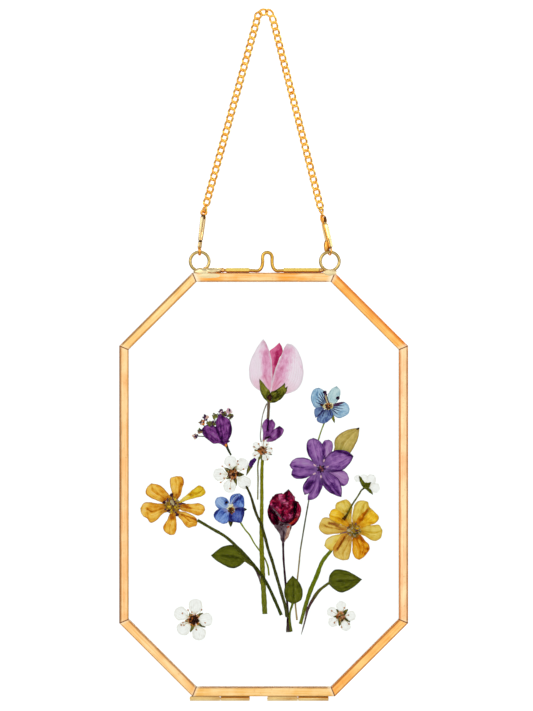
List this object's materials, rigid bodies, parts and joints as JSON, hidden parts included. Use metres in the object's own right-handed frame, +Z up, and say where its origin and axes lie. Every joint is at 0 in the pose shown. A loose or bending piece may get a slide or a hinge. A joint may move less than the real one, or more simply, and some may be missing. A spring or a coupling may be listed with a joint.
{
  "type": "pressed flower frame",
  "caption": "Hanging double-glass brass frame with dried pressed flowers between its panes, hinged below, latched on top, on a curb chain with clasps.",
  "frame": {"origin": "the point inside the chain's top link where the frame hangs", "axes": "+Z up, +X to the right seen from the front, the front faces -Y"},
  "size_m": [0.15, 0.0083, 0.3599],
  "materials": {
    "brass": "satin, with solder at the mitres",
    "olive_brass": "satin drawn wire and tube",
    "solder": "pale, uneven",
    "pane_glass": "clear, polished",
    "chain_gold": "polished",
    "clasp_gold": "polished",
    "pink_petal": "dry, matt",
    "violet_petal": "dry, matt",
    "pale_blue_petal": "dry, matt",
    "blue_petal": "dry, matt",
    "purple_petal": "dry, matt",
    "dark_purple_petal": "dry, matt",
    "white_petal": "dry, matt",
    "yellow_petal": "dry, matt",
    "red_petal": "dry, matt",
    "olive_leaf": "dry, matt",
    "green_stem": "dry, matt",
    "dark_leaf": "dry, matt",
    "tan_stem": "dry, matt",
    "red_stem": "dry, matt"
  },
  "bodies": {
    "hanger": {"chain_left": "chain_gold", "chain_right": "chain_gold", "clasp_left": "clasp_gold", "clasp_right": "clasp_gold"},
    "front_leaf": {"front_bar_top": "brass", "front_bar_top_right": "brass", "front_bar_right": "brass", "front_bar_bottom_right": "brass", "front_bar_bottom": "brass", "front_bar_bottom_left": "brass", "front_bar_left": "brass", "front_bar_top_left": "brass", "front_glass": "pane_glass", "ring_left": "solder", "ring_right": "solder", "keeper_tube_left": "olive_brass", "keeper_tube_right": "olive_brass", "front_knuckle_left": "brass", "front_knuckle_right": "brass", "hinge_pin_left": "olive_brass", "hinge_pin_right": "olive_brass", "pink_blossom": "pink_petal", "violet_floret": "violet_petal", "pale_blue_flower": "pale_blue_petal", "olive_leaf": "olive_leaf", "purple_flower": "purple_petal", "purple_cluster": "dark_purple_petal", "left_yellow_flower": "yellow_petal", "blue_flower": "blue_petal", "red_flower": "red_petal", "right_yellow_flower": "yellow_petal", "small_white_flower": "white_petal", "middle_white_flower": "white_petal", "left_white_flower": "white_petal", "right_white_flower": "white_petal", "pink_stem": "green_stem", "pale_blue_stem": "tan_stem", "middle_white_stem": "dark_leaf", "left_yellow_stem": "dark_leaf", "blue_stem": "green_stem", "red_stem": "red_stem", "right_yellow_stem": "green_stem", "leaf_left": "dark_leaf", "leaf_right": "dark_leaf", "leaf_middle": "dark_leaf", "white_bud": "white_petal"},
    "back_leaf": {"back_bar_top": "brass", "back_bar_top_right": "brass", "back_bar_right": "brass", "back_bar_bottom_right": "brass", "back_bar_bottom": "brass", "back_bar_bottom_left": "brass", "back_bar_left": "brass", "back_bar_top_left": "brass", "back_glass": "pane_glass", "guide_tube_left": "olive_brass", "guide_tube_right": "olive_brass", "latch_wire": "olive_brass", "back_knuckle_left": "brass", "back_knuckle_right": "brass"}
  },
  "joints": [
    {"name": "frame_swing", "type": "hinge", "parent": "hanger", "child": "front_leaf", "pos_m": [-0.00105, 0, -0.12476], "axis": [1, 0, 0], "range_deg": [-30, 30]},
    {"name": "leaf_hinge", "type": "hinge", "parent": "front_leaf", "child": "back_leaf", "pos_m": [-0.00105, 0, -0.35705], "axis": [-1, 0, 0], "range_deg": [0, 180]}
  ]
}
